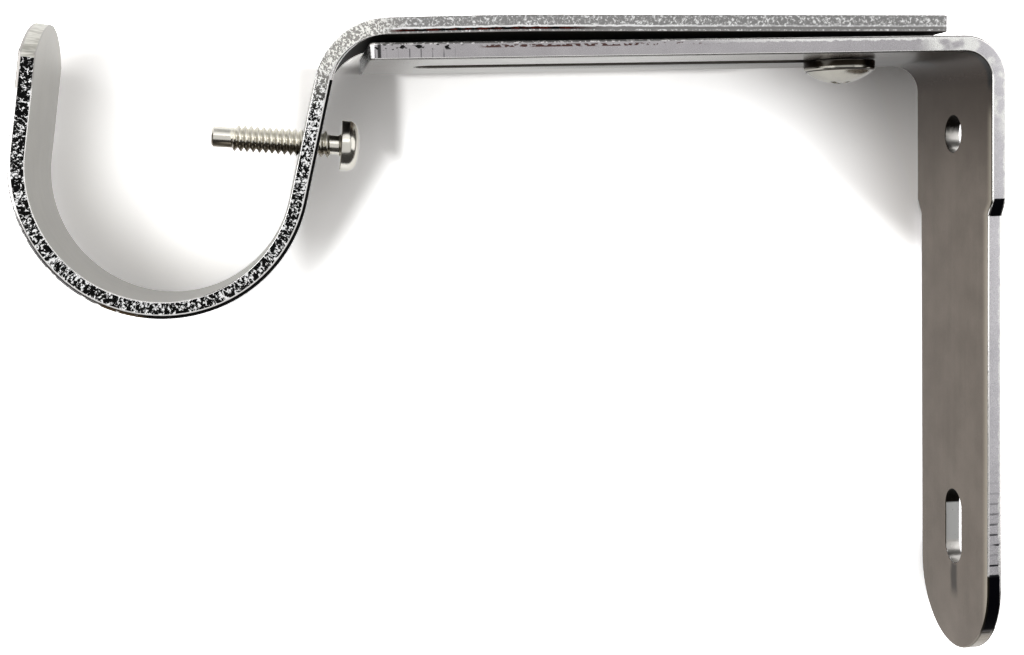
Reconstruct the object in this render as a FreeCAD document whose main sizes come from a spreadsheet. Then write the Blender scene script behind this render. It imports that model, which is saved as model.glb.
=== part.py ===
import FreeCAD
import Part
import Sketcher
import math
import os

# A curtain pole bracket: a folded wall bracket, a sliding arm with a pole cup, and two screws.
# Millimetres. The wall face is the plane X = 0, the room is towards -X, and Z points up.
# The origin is the centre of the round wall hole on that face. Y runs across both strips.

doc = FreeCAD.newDocument("CurtainPoleBracket")

# Driving sizes

SIZES = (
    ("strip", 2.1, "thickness of both folded strips"),
    ("edge_break", 0.3, "chamfer that breaks the strips' edges"),
    ("plan_corner", 0.9, "corner radius at the square ends of both arms"),
    # Wall bracket
    ("bracket_width", 23.7, "width of the fixed arm and of the leg above its shoulders"),
    ("arm_rise", 10.2, "hole centre up to the fixed arm's underside"),
    ("arm_reach", 82.6, "wall face to the fixed arm's free end"),
    ("fold_radius", 3.7, "inside radius of the square fold"),
    ("shoulder_drop", 9.0, "hole centre down to the top of the shoulders"),
    ("shoulder_slope", 2.1, "height of a slanted shoulder"),
    ("shoulder_step", 1.25, "how far each side steps in at a shoulder"),
    ("shoulder_round", 0.6, "radius where a shoulder meets the straight sides"),
    ("leg_drop", 72.1, "hole centre down to the lowest point of the round foot"),
    ("wall_hole", 5.0, "diameter of the round wall hole"),
    ("wall_slot_width", 5.0, "width of the wall slot"),
    ("wall_slot_length", 10.4, "overall length of the wall slot"),
    ("wall_slot_drop", 54.9, "hole centre down to the middle of the wall slot"),
    ("arm_slot_width", 4.5, "width of the adjusting slot in the fixed arm"),
    ("arm_slot_near", 15.1, "wall face to the near end of the adjusting slot"),
    ("arm_slot_margin", 6.4, "far end of the adjusting slot to the arm's free end"),
    # Sliding arm and its cup
    ("cup_width", 21.6, "width of the sliding arm and its cup"),
    ("seat", 0.05, "running clearance between the two arms where they touch"),
    ("arm_lift", 0.7, "degrees by which the sliding arm rises away from the fixed one"),
    ("arm_start", 7.6, "wall face to the square end of the sliding arm"),
    ("cup_reach", 100.4, "square end of the sliding arm to the cup's centre"),
    ("cup_drop", 16.2, "underside of the sliding arm down to the cup's centre"),
    ("cup_radius", 15.8, "inside radius of the cup"),
    ("neck_radius", 7.0, "inside radius of the fold between arm and cup"),
    ("neck_lean", 13.3, "degrees that the neck, the wall between arm and cup, leans"),
    ("mouth_lean", 8.3, "degrees that the cup's free wall leans inwards"),
    ("mouth_length", 16.4, "straight length of the free wall, up to the top of its round tip"),
    ("tip_rise", 4.5, "height of the shallow round tip above its corners"),
    ("tip_corner", 1.2, "radius where the round tip meets the straight sides"),
    # Pole screw, a pan head machine screw through the neck
    ("pole_screw_size", 3.5, "outside diameter of the pole screw's thread"),
    ("pole_bore_gap", 0.04, "radial clearance of the pole screw in its tapped hole"),
    ("pole_screw_length", 16.4, "pole screw from under its head to its tip"),
    ("pole_screw_lean", 4.7, "degrees that its tip points up from the sliding arm's direction"),
    ("pole_screw_height", 3.2, "cup centre up to where its axis crosses the neck's outer face"),
    ("pole_screw_gap", 2.9, "neck's outer face to the pan head, along the axis"),
    ("pole_head_width", 6.6, "diameter of the pan head"),
    ("pole_head_height", 2.5, "height of the pan head"),
    ("pole_head_corner", 1.3, "rounding of the pan head's side"),
    ("pole_head_crown", 8.0, "radius of the pan head's crown"),
    ("pilot_width", 2.65, "diameter of the pole screw's plain point"),
    ("pilot_length", 2.5, "length of the plain point"),
    ("pilot_cone", 0.4, "length of the cone between thread and plain point"),
    ("pilot_chamfer", 0.25, "chamfer at the very tip"),
    ("pole_recess", 3.6, "span of the cross recess in the pan head"),
    # Lock screw, a truss head machine screw up through the slot
    ("lock_screw_size", 4.1, "outside diameter of the lock screw's thread"),
    ("lock_bore_gap", 0.04, "radial clearance of the lock screw in its tapped hole"),
    ("lock_offset", 10.8, "square end of the sliding arm to the lock screw's axis"),
    ("lock_screw_inset", 0.25, "lock screw's end below the sliding arm's top face"),
    ("lock_screw_chamfer", 0.4, "chamfer at the lock screw's end"),
    ("lock_head_width", 9.5, "diameter of the truss head"),
    ("lock_head_height", 2.6, "height of the truss head"),
    ("lock_head_rim", 0.35, "height of the truss head's straight rim"),
    ("lock_head_gap", 0.05, "least gap between the truss head and the fixed arm"),
    ("lock_recess", 4.6, "span of the cross recess in the truss head"),
    ("recess_blade", 0.95, "width of a blade of the cross recesses"),
    ("recess_depth", 1.5, "depth of the cross recesses"),
)

sheet = doc.addObject("Spreadsheet::Sheet", "Sizes")
for row, (alias, number, meaning) in enumerate(SIZES, start=1):
    sheet.set(f"A{row}", alias)
    sheet.set(f"B{row}", str(number))
    sheet.set(f"C{row}", meaning)
    sheet.setAlias(f"B{row}", alias)
doc.recompute()

# Cutting shapes stand clear of the metal by this much
MARGIN = 2.0
# Two faces meet in a sharp edge when their normals' cosine is below this
SHARP_COSINE = 0.5


class Size:
    """A number together with the sheet expression that keeps it up to date."""

    def __init__(self, number, text):
        self.number = number
        self.text = text

    def __add__(self, other):
        other = as_size(other)
        return Size(self.number + other.number, f"({self.text} + {other.text})")

    def __sub__(self, other):
        other = as_size(other)
        return Size(self.number - other.number, f"({self.text} - {other.text})")

    def __mul__(self, other):
        other = as_size(other)
        return Size(self.number * other.number, f"({self.text} * {other.text})")

    def __truediv__(self, other):
        other = as_size(other)
        return Size(self.number / other.number, f"({self.text} / {other.text})")

    def __neg__(self):
        return Size(-self.number, f"(-1 * {self.text})")


def as_size(value):
    return value if isinstance(value, Size) else Size(value, repr(float(value)))


def sine(angle):
    return Size(math.sin(math.radians(angle.number)), f"sin({angle.text})")


def cosine(angle):
    return Size(math.cos(math.radians(angle.number)), f"cos({angle.text})")


def root(value):
    return Size(math.sqrt(value.number), f"sqrt({value.text})")


# Every cell of the sheet, by its alias
cell = {alias: Size(number, f"Sizes.{alias}") for alias, number, meaning in SIZES}

strip = cell["strip"]
zero = Size(0.0, "0.0")


# Helpers for bodies, sketches and features

def new_body(label):
    body = doc.addObject("PartDesign::Body", label)
    body.Label = label
    return body


def new_sketch(body, name, role):
    """A sketch on one of the body's own origin planes: XY_Plane, XZ_Plane or YZ_Plane."""
    sketch = body.newObject("Sketcher::SketchObject", name)
    plane = [feature for feature in body.Origin.OriginFeatures if feature.Role == role][0]
    sketch.AttachmentSupport = [(plane, "")]
    sketch.MapMode = "FlatFace"
    return sketch


def shift_sketch(sketch, right, up, out, turn=None):
    """Move a sketch from its plane, in its own axes, and turn it about its own right axis."""
    if turn is not None:
        sketch.AttachmentOffset = FreeCAD.Placement(
            FreeCAD.Vector(0, 0, 0), FreeCAD.Rotation(FreeCAD.Vector(1, 0, 0), 1))
        sketch.setExpression("AttachmentOffset.Rotation.Angle", turn.text)
    sketch.setExpression("AttachmentOffset.Base.x", right.text)
    sketch.setExpression("AttachmentOffset.Base.y", up.text)
    sketch.setExpression("AttachmentOffset.Base.z", out.text)


def drive(sketch, name, constraint, value, *where):
    """Add one dimension and let the sheet drive it."""
    index = sketch.addConstraint(Sketcher.Constraint(constraint, *where, value.number))
    sketch.renameConstraint(index, name)
    sketch.setExpression(f"Constraints.{name}", value.text)


def arc(centre, radius, start, end, clockwise=False):
    """An arc through two corners about a centre, all of them pairs of sizes."""
    circle = Part.Circle(point(centre), FreeCAD.Vector(0, 0, 1), radius.number)
    first, last = (end, start) if clockwise else (start, end)
    return Part.ArcOfCircle(circle, circle.parameter(point(first)), circle.parameter(point(last)))


def point(corner):
    return FreeCAD.Vector(corner[0].number, corner[1].number, 0)


def loop(sketch, corners, arcs=None):
    """Draw a closed loop through corners. arcs maps a corner's number to the arc that leaves it,
    given as (centre, radius, clockwise); every other corner is left by a straight line."""
    arcs = arcs or {}
    ends = []
    for number, corner in enumerate(corners):
        following = corners[(number + 1) % len(corners)]
        if number in arcs:
            centre, radius, clockwise = arcs[number]
            curve = arc(centre, radius, corner, following, clockwise)
            ends.append((2, 1) if clockwise else (1, 2))
        else:
            curve = Part.LineSegment(point(corner), point(following))
            ends.append((1, 2))
        sketch.addGeometry(curve, False)
    for number, corner in enumerate(corners):
        following = (number + 1) % len(corners)
        sketch.addConstraint(Sketcher.Constraint(
            "Coincident", number, ends[number][1], following, ends[following][0]))
    for number, corner in enumerate(corners):
        drive(sketch, f"x{number}", "DistanceX", corner[0], number, ends[number][0])
        drive(sketch, f"y{number}", "DistanceY", corner[1], number, ends[number][0])
    for number, (centre, radius, clockwise) in arcs.items():
        # The ends fix an arc but for its centre's place across the chord between them
        chord = point(corners[(number + 1) % len(corners)]) - point(corners[number])
        if abs(chord.x) > abs(chord.y):
            drive(sketch, f"centre{number}", "DistanceY", centre[1], number, 3)
        else:
            drive(sketch, f"centre{number}", "DistanceX", centre[0], number, 3)
    doc.recompute()


def ring(sketch, centre, diameter):
    """Draw a circle."""
    circle = Part.Circle(point(centre), FreeCAD.Vector(0, 0, 1), diameter.number / 2)
    sketch.addGeometry(circle, False)
    drive(sketch, "x", "DistanceX", centre[0], 0, 3)
    drive(sketch, "y", "DistanceY", centre[1], 0, 3)
    drive(sketch, "diameter", "Diameter", diameter, 0)
    doc.recompute()


def pad(body, name, sketch, width):
    """Pad a sketch by half the width to each side."""
    feature = body.newObject("PartDesign::Pad", name)
    feature.Profile = sketch
    feature.SideType = "Symmetric"
    feature.setExpression("Length", width.text)
    doc.recompute()


def cut(body, name, sketch, length=None, one_side=False):
    """Cut a sketch through the body, or over a length, and make sure that it took metal away."""
    before = body.Shape.Volume
    feature = body.newObject("PartDesign::Pocket", name)
    feature.Profile = sketch
    feature.SideType = "One side" if one_side else "Symmetric"
    feature.Reversed = one_side
    feature.Type = "ThroughAll" if length is None else "Length"
    if length is not None:
        feature.setExpression("Length", length.text)
    doc.recompute()
    if not body.Shape.Volume < before:
        raise ValueError(f"{name} took nothing away")


def revolve(body, name, sketch):
    """Revolve a half section about the sketch's upright axis."""
    feature = body.newObject("PartDesign::Revolution", name)
    feature.Profile = sketch
    feature.ReferenceAxis = (sketch, ["V_Axis"])
    feature.Angle = 360
    doc.recompute()


def fillet(body, name, edges, radius):
    if not edges:
        raise ValueError(f"{name} found no edge")
    base = body.Tip
    feature = body.newObject("PartDesign::Fillet", name)
    feature.Base = (base, edges)
    feature.setExpression("Radius", radius.text)
    doc.recompute()


def chamfer(body, name, edges, width):
    if not edges:
        raise ValueError(f"{name} found no edge")
    base = body.Tip
    feature = body.newObject("PartDesign::Chamfer", name)
    feature.Base = (base, edges)
    feature.setExpression("Size", width.text)
    doc.recompute()


def straight_edges(shape, direction, accept):
    """Names of the straight edges along a direction whose middle accept() agrees to."""
    names = []
    for number, edge in enumerate(shape.Edges, start=1):
        if edge.Curve.TypeId != "Part::GeomLine":
            continue
        along = edge.tangentAt(edge.FirstParameter)
        if abs(along.dot(direction)) > 0.999 and accept(edge.CenterOfMass):
            names.append(f"Edge{number}")
    return names


def normal_on(face, place):
    u, v = face.Surface.parameter(place)
    return face.normalAt(u, v)


def outline_edges(shape, reach):
    """Names of the sharp edges between two faces that both reach further than this from Y = 0,
    so holes and slots near the middle keep their crisp edges."""
    names = []
    for number, edge in enumerate(shape.Edges, start=1):
        faces = shape.ancestorsOfType(edge, Part.Face)
        if len(faces) != 2:
            continue
        if any(max(face.BoundBox.YMax, -face.BoundBox.YMin) < reach for face in faces):
            continue
        middle = edge.valueAt((edge.FirstParameter + edge.LastParameter) / 2)
        first, second = [normal_on(face, middle) for face in faces]
        if abs(first.dot(second)) < SHARP_COSINE:
            names.append(f"Edge{number}")
    return names


def slot(sketch, low, high, width, upright):
    """Draw a round-ended slot on the sketch's right axis, or on its upright axis."""
    half = width / 2

    def corner(along, aside):
        return (-aside, along) if upright else (along, aside)

    low_centre = corner(low + half, zero)
    high_centre = corner(high - half, zero)
    corners = (
        corner(low + half, half),
        corner(low + half, -half),
        corner(high - half, -half),
        corner(high - half, half),
    )
    loop(sketch, corners, {0: (low_centre, half, False), 2: (high_centre, half, False)})


def cross_recess(body, name, top, span):
    """Cut a cross recess into a screw head whose crown lies this far below the XY plane."""
    sketch = new_sketch(body, f"{name}_outline", "XY_Plane")
    shift_sketch(sketch, zero, zero, -top)
    blade = cell["recess_blade"] / 2
    tip = span / 2
    quarter = ((blade, tip), (blade, blade), (tip, blade))
    corners = []
    for x, y in quarter:
        corners.append((x, y))
    for x, y in quarter:
        corners.append((y, -x))
    for x, y in quarter:
        corners.append((-x, -y))
    for x, y in quarter:
        corners.append((-y, x))
    loop(sketch, corners)
    cut(body, name, sketch, cell["recess_depth"], one_side=True)


# Wall bracket: one strip folded square, with a leg on the wall and an arm into the room

bracket_half = cell["bracket_width"] / 2
leg_half = bracket_half - cell["shoulder_step"]
arm_top = cell["arm_rise"] + strip
y_axis = FreeCAD.Vector(0, 1, 0)
x_axis = FreeCAD.Vector(1, 0, 0)
z_axis = FreeCAD.Vector(0, 0, 1)


def build_wall_bracket():
    body = new_body("wall_bracket")

    side = new_sketch(body, "folded_strip", "XZ_Plane")
    loop(side, (
        (zero, -cell["leg_drop"]),
        (zero, arm_top),
        (-cell["arm_reach"], arm_top),
        (-cell["arm_reach"], cell["arm_rise"]),
        (-strip, cell["arm_rise"]),
        (-strip, -cell["leg_drop"]),
    ))
    pad(body, "strip_pad", side, cell["bracket_width"])

    def outside(middle):
        return abs(middle.x) < strip.number / 2 and middle.z > cell["arm_rise"].number

    def inside(middle):
        return abs(middle.x + strip.number) < strip.number / 2 and middle.z > 0

    outer_edge = straight_edges(body.Shape, y_axis, outside)
    fillet(body, "fold_outside", outer_edge, cell["fold_radius"] + strip)
    inner_edge = straight_edges(body.Shape, y_axis, inside)
    fillet(body, "fold_inside", inner_edge, cell["fold_radius"])

    cut_leg_outline(body)
    cut_wall_holes(body)

    adjusting = new_sketch(body, "adjusting_slot_outline", "XY_Plane")
    slot_far = cell["arm_slot_margin"] - cell["arm_reach"]
    slot(adjusting, slot_far, -cell["arm_slot_near"], cell["arm_slot_width"], upright=False)
    cut(body, "adjusting_slot", adjusting)

    soften_wall_bracket(body)
    return body


def cut_leg_outline(body):
    """Shoulders that step the leg in, and its half-round foot."""
    below = cell["shoulder_drop"] + cell["shoulder_slope"]
    foot_centre = (zero, leg_half - cell["leg_drop"])
    clear = bracket_half + MARGIN
    under = -(cell["leg_drop"] + MARGIN)
    outline = new_sketch(body, "leg_outline", "YZ_Plane")
    loop(outline, (
        (clear, -cell["shoulder_drop"]),
        (bracket_half, -cell["shoulder_drop"]),
        (leg_half, -below),
        (leg_half, foot_centre[1]),
        (-leg_half, foot_centre[1]),
        (-leg_half, -below),
        (-bracket_half, -cell["shoulder_drop"]),
        (-clear, -cell["shoulder_drop"]),
        (-clear, under),
        (clear, under),
    ), {3: (foot_centre, leg_half, True)})
    cut(body, "leg_trim", outline)


def cut_wall_holes(body):
    """The round hole and the slot for the two wall screws."""
    hole = new_sketch(body, "wall_hole_outline", "YZ_Plane")
    ring(hole, (zero, zero), cell["wall_hole"])
    cut(body, "wall_hole", hole)

    half_length = cell["wall_slot_length"] / 2
    low = -(cell["wall_slot_drop"] + half_length)
    high = half_length - cell["wall_slot_drop"]
    lower = new_sketch(body, "wall_slot_outline", "YZ_Plane")
    slot(lower, low, high, cell["wall_slot_width"], upright=True)
    cut(body, "wall_slot", lower)


def soften_wall_bracket(body):
    """Round the arm's corners and the shoulders in plan, then break every outer edge."""
    end = -cell["arm_reach"].number

    def at_end(middle):
        return abs(middle.x - end) < 0.01 and middle.z > 0

    fillet(body, "arm_corners", straight_edges(body.Shape, z_axis, at_end), cell["plan_corner"])

    top = -cell["shoulder_drop"].number
    bottom = top - cell["shoulder_slope"].number

    def at_shoulder(middle):
        near_step = abs(middle.z - top) < 0.01 or abs(middle.z - bottom) < 0.01
        return near_step and abs(middle.y) > leg_half.number - 0.01

    shoulders = straight_edges(body.Shape, x_axis, at_shoulder)
    fillet(body, "shoulder_rounds", shoulders, cell["shoulder_round"])
    outline = outline_edges(body.Shape, 0.9 * leg_half.number)
    chamfer(body, "edge_breaks", outline, cell["edge_break"])


# Sliding arm: one strip folded down into the neck and rolled into the pole cup.
# It is drawn with its square end at the origin and its underside along X, then tilted by arm_lift.

neck_sine = sine(cell["neck_lean"])
neck_cosine = cosine(cell["neck_lean"])
mouth_sine = sine(cell["mouth_lean"])
mouth_cosine = cosine(cell["mouth_lean"])

cup_x = -cell["cup_reach"]
cup_z = -cell["cup_drop"]
cup_outer = cell["cup_radius"] + strip
neck_outer = cell["neck_radius"] + strip

# Distance of the neck's outer face from the origin, along its own normal
neck_face = cup_x * neck_cosine - cup_z * neck_sine + cup_outer
neck_centre = (
    (neck_face + cell["neck_radius"] - cell["neck_radius"] * neck_sine) / neck_cosine,
    -cell["neck_radius"],
)
cup_centre = (cup_x, cup_z)


def from_cup(radius, along_x, along_z):
    return (cup_x + radius * along_x, cup_z + radius * along_z)


def from_neck(radius):
    return (neck_centre[0] - radius * neck_cosine, neck_centre[1] + radius * neck_sine)


mouth_start = from_cup(cell["cup_radius"], -mouth_cosine, mouth_sine)
tip_inside = (
    mouth_start[0] + cell["mouth_length"] * mouth_sine,
    mouth_start[1] + cell["mouth_length"] * mouth_cosine,
)
tip_outside = (tip_inside[0] - strip * mouth_cosine, tip_inside[1] + strip * mouth_sine)

# Where the pole screw's axis crosses the neck's outer face
screw_z = cup_z + cell["pole_screw_height"]
screw_x = (neck_face + screw_z * neck_sine) / neck_cosine
screw_sine = sine(cell["pole_screw_lean"])
screw_cosine = cosine(cell["pole_screw_lean"])


def build_cup_arm():
    body = new_body("cup_arm")

    side = new_sketch(body, "folded_strip", "XZ_Plane")
    loop(side, (
        (zero, zero),
        (zero, strip),
        (neck_centre[0], strip),
        from_neck(neck_outer),
        from_cup(cell["cup_radius"], neck_cosine, -neck_sine),
        mouth_start,
        tip_inside,
        tip_outside,
        from_cup(cup_outer, -mouth_cosine, mouth_sine),
        from_cup(cup_outer, neck_cosine, -neck_sine),
        from_neck(cell["neck_radius"]),
        (neck_centre[0], zero),
    ), {
        2: (neck_centre, neck_outer, False),
        4: (cup_centre, cell["cup_radius"], True),
        8: (cup_centre, cup_outer, False),
        10: (neck_centre, cell["neck_radius"], True),
    })
    pad(body, "strip_pad", side, cell["cup_width"])

    round_tip(body)
    tap_cup_arm(body)
    soften_cup_arm(body)

    body.Placement = FreeCAD.Placement(FreeCAD.Vector(0, 0, 0), FreeCAD.Rotation(y_axis, 1))
    body.setExpression("Placement.Rotation.Angle", cell["arm_lift"].text)
    body.setExpression("Placement.Base.x", arm_origin[0].text)
    body.setExpression("Placement.Base.z", arm_origin[1].text)
    doc.recompute()
    return body


def round_tip(body):
    """Cut the free wall's end to a shallow arc, square to that wall."""
    half = cell["cup_width"] / 2
    radius = (half * half + cell["tip_rise"] * cell["tip_rise"]) / (cell["tip_rise"] * 2)
    clear = half + MARGIN
    above = Size(MARGIN, repr(MARGIN))
    sketch = new_sketch(body, "tip_outline", "YZ_Plane")
    shift_sketch(sketch, zero, tip_inside[1], tip_inside[0], cell["mouth_lean"])
    loop(sketch, (
        (-clear, -cell["tip_rise"]),
        (-half, -cell["tip_rise"]),
        (half, -cell["tip_rise"]),
        (clear, -cell["tip_rise"]),
        (clear, above),
        (-clear, above),
    ), {1: ((zero, -radius), radius, True)})
    cut(body, "tip_trim", sketch, (strip + MARGIN) * 2)


def tap_cup_arm(body):
    """Holes for the pole screw, through the neck, and for the lock screw, through the arm."""
    pole = new_sketch(body, "pole_screw_hole_outline", "YZ_Plane")
    shift_sketch(pole, zero, screw_z, screw_x, cell["pole_screw_lean"])
    ring(pole, (zero, zero), cell["pole_screw_size"] + cell["pole_bore_gap"] * 2)
    cut(body, "pole_screw_hole", pole, (strip + MARGIN) * 2)

    lock = new_sketch(body, "lock_screw_hole_outline", "XY_Plane")
    ring(lock, (-cell["lock_offset"], zero), cell["lock_screw_size"] + cell["lock_bore_gap"] * 2)
    cut(body, "lock_screw_hole", lock, (strip + MARGIN) * 2)


def soften_cup_arm(body):
    """Round the arm's square corners and the tip's corners in plan, then break every outer edge."""
    def at_end(middle):
        return abs(middle.x) < 0.01

    fillet(body, "arm_corners", straight_edges(body.Shape, z_axis, at_end), cell["plan_corner"])

    through_wall = FreeCAD.Vector(-mouth_cosine.number, 0, mouth_sine.number)
    highest = tip_outside[1].number

    def at_tip(middle):
        return middle.x < cup_x.number and middle.z < highest

    fillet(body, "tip_corners", straight_edges(body.Shape, through_wall, at_tip), cell["tip_corner"])
    outline = outline_edges(body.Shape, 0.45 * cell["cup_width"].number)
    chamfer(body, "edge_breaks", outline, cell["edge_break"])


# Screws: each is drawn upright, with the underside of its head on the XY plane and its shank up

lift_sine = sine(cell["arm_lift"])
lift_cosine = cosine(cell["arm_lift"])
arm_origin = (-cell["arm_start"], arm_top + cell["seat"])


def in_frame(place):
    """A place in the sliding arm's own axes, in the part's axes."""
    x, z = place
    return (
        arm_origin[0] + x * lift_cosine + z * lift_sine,
        arm_origin[1] - x * lift_sine + z * lift_cosine,
    )


def place_screw(body, place, turn):
    x, z = in_frame(place)
    body.Placement = FreeCAD.Placement(FreeCAD.Vector(0, 0, 0), FreeCAD.Rotation(y_axis, 1))
    body.setExpression("Placement.Rotation.Angle", turn.text)
    body.setExpression("Placement.Base.x", x.text)
    body.setExpression("Placement.Base.z", z.text)
    doc.recompute()


def build_pole_screw():
    body = new_body("pole_screw")
    head = cell["pole_head_width"] / 2
    shank = cell["pole_screw_size"] / 2
    pilot = cell["pilot_width"] / 2
    corner = cell["pole_head_corner"]
    crown = cell["pole_head_crown"]

    crown_centre = (zero, crown - cell["pole_head_height"])
    reach = head - corner
    rise = root((crown - corner) * (crown - corner) - reach * reach)
    corner_centre = (reach, crown_centre[1] - rise)
    blend = (crown * reach / (crown - corner), crown_centre[1] - crown * rise / (crown - corner))
    thread_end = cell["pole_screw_length"] - cell["pilot_length"]

    section = new_sketch(body, "half_section", "XZ_Plane")
    loop(section, (
        (zero, -cell["pole_head_height"]),
        blend,
        (head, corner_centre[1]),
        (head, zero),
        (shank, zero),
        (shank, thread_end - cell["pilot_cone"]),
        (pilot, thread_end),
        (pilot, cell["pole_screw_length"] - cell["pilot_chamfer"]),
        (pilot - cell["pilot_chamfer"], cell["pole_screw_length"]),
        (zero, cell["pole_screw_length"]),
    ), {0: (crown_centre, crown, False), 1: (corner_centre, corner, False)})
    revolve(body, "turned", section)
    cross_recess(body, "recess", cell["pole_head_height"], cell["pole_recess"])

    under_head = (
        screw_x + cell["pole_screw_gap"] * screw_cosine,
        screw_z - cell["pole_screw_gap"] * screw_sine,
    )
    place_screw(body, under_head, cell["pole_screw_lean"] + cell["arm_lift"] - 90)
    return body


def build_lock_screw():
    body = new_body("lock_screw")
    head = cell["lock_head_width"] / 2
    shank = cell["lock_screw_size"] / 2
    dome = cell["lock_head_height"] - cell["lock_head_rim"]
    dome_radius = (dome * dome + head * head) / (dome * 2)
    dome_centre = (zero, dome_radius - cell["lock_head_height"])

    # The arms spread apart from their touching ends, so the head hangs a little lower at its axis
    spread = cell["lock_offset"] * lift_sine / lift_cosine + head * lift_sine
    stack = strip + cell["seat"] + spread + cell["lock_head_gap"]
    length = stack + strip - cell["lock_screw_inset"]

    section = new_sketch(body, "half_section", "XZ_Plane")
    loop(section, (
        (zero, -cell["lock_head_height"]),
        (head, -cell["lock_head_rim"]),
        (head, zero),
        (shank, zero),
        (shank, length - cell["lock_screw_chamfer"]),
        (shank - cell["lock_screw_chamfer"], length),
        (zero, length),
    ), {0: (dome_centre, dome_radius, False)})
    revolve(body, "turned", section)
    cross_recess(body, "recess", cell["lock_head_height"], cell["lock_recess"])

    place_screw(body, (-cell["lock_offset"], -stack), cell["arm_lift"])
    return body


bodies = [build_wall_bracket(), build_cup_arm(), build_pole_screw(), build_lock_screw()]
doc.recompute()

# Check every object, then write one file for each piece

for item in doc.Objects:
    if "Invalid" in item.State or "Error" in item.State:
        raise ValueError(f"{item.Name} is in state {item.State}")

os.makedirs("parts", exist_ok=True)
for body in bodies:
    shape = body.Shape
    if shape.isNull() or not shape.isValid() or len(shape.Solids) != 1:
        raise ValueError(f"{body.Label} is not one valid solid")
    shape.exportStep(f"parts/{body.Label}.step")
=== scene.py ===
import bpy
import math
from mathutils import Matrix, Vector


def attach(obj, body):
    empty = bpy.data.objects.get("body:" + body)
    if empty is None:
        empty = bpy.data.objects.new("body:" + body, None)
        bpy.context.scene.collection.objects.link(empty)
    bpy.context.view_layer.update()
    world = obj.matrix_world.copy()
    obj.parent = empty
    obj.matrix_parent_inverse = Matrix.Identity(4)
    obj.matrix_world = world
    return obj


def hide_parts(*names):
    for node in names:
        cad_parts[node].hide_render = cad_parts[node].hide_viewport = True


# An adjustable curtain pole bracket of nickel plated steel: a folded wall bracket, a sliding arm
# that is rolled into an open pole cup, a lock screw under the arms and a screw that grips the pole.
# It lies on its side on white paper and is looked at from above, so the paper is the plane behind it.
# Metres, in the frame of the CAD: the wall is the plane X = 0, the room is towards -X, Z points up.

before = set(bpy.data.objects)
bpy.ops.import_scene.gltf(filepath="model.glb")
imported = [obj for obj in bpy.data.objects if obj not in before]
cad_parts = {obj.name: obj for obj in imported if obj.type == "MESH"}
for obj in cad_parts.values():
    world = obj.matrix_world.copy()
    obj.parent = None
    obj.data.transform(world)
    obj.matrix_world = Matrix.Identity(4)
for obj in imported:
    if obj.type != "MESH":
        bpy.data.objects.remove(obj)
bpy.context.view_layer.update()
bpy.ops.object.select_all(action="DESELECT")

MM = 0.001

# Sizes of the strips, as in the CAD

STRIP = 2.1 * MM
BRACKET_HALF = 11.85 * MM
LEG_HALF = 10.6 * MM
LEG_DROP = 72.1 * MM
ARM_RISE = 10.2 * MM
ARM_TOP = ARM_RISE + STRIP
ARM_REACH = 82.6 * MM
FOLD_RADIUS = 3.7 * MM
SHOULDER_TOP = -9.0 * MM
SHOULDER_FOOT = -11.1 * MM
SHOULDER_ROUND = 0.6 * MM
PLAN_CORNER = 0.9 * MM
WALL_HOLE_RADIUS = 2.5 * MM
WALL_SLOT_LENGTH = 10.4 * MM
WALL_SLOT_DROP = 54.9 * MM
ARM_SLOT_RADIUS = 2.25 * MM
ARM_SLOT_NEAR = -15.1 * MM
ARM_SLOT_FAR = -76.2 * MM

CUP_HALF = 10.8 * MM
ARM_START = Vector((-7.6 * MM, 0, ARM_TOP + 0.05 * MM))
ARM_LIFT = math.radians(0.7)
LIFT = 0.5 * MM
LIFT_START = -82.0 * MM
LIFT_RUN = 30.0 * MM
CUP_CENTRE = Vector((-100.4 * MM, 0, -16.2 * MM))
CUP_RADIUS = 15.8 * MM
CUP_OUTER = CUP_RADIUS + STRIP
NECK_RADIUS = 7.0 * MM
NECK_LEAN = math.radians(13.3)
MOUTH_LEAN = math.radians(8.3)
MOUTH_LENGTH = 16.4 * MM
TIP_RISE = 4.5 * MM
TIP_CORNER = 0.5 * MM

NECK_FACE = CUP_CENTRE.x * math.cos(NECK_LEAN) - CUP_CENTRE.z * math.sin(NECK_LEAN) + CUP_OUTER
NECK_X = (NECK_FACE + NECK_RADIUS - NECK_RADIUS * math.sin(NECK_LEAN)) / math.cos(NECK_LEAN)
NECK_CENTRE = Vector((NECK_X, 0, -NECK_RADIUS))

SCREW_LEAN = math.radians(4.7)
SCREW_AXIS = Vector((math.cos(SCREW_LEAN), 0, -math.sin(SCREW_LEAN)))
SCREW_Z = CUP_CENTRE.z + 3.48 * MM
SCREW_X = (NECK_FACE + SCREW_Z * math.sin(NECK_LEAN)) / math.cos(NECK_LEAN)
SCREW_CROSSING = Vector((SCREW_X, 0, SCREW_Z))
SCREW_HEAD_GAP = 2.9 * MM
SCREW_HOLE_RADIUS = 1.79 * MM
LOCK_OFFSET = -10.8 * MM
LOCK_SEAT = Vector((LOCK_OFFSET, 0, -2.39 * MM))
LOCK_HOLE_RADIUS = 2.09 * MM
THREAD_PITCH = 0.79

INTO_ARM = Matrix.Translation(ARM_START) @ Matrix.Rotation(ARM_LIFT, 4, "Y")
CUP_PLACE = INTO_ARM @ CUP_CENTRE

CLEAR = 1.0 * MM
NEAR = 0.01 * MM
ACROSS = Vector((0, 1, 0))
MIDDLE = Vector((-0.06, 0, -0.03))


# Editing by code

def choose(piece):
    """Select one piece alone and make it the active one."""
    bpy.ops.object.select_all(action="DESELECT")
    piece.select_set(True)
    bpy.context.view_layer.objects.active = piece


def begin(piece):
    """Open one piece in edit mode with nothing selected."""
    choose(piece)
    bpy.ops.object.mode_set(mode="EDIT")
    bpy.ops.mesh.select_all(action="DESELECT")


def end():
    bpy.ops.object.mode_set(mode="OBJECT")


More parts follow.
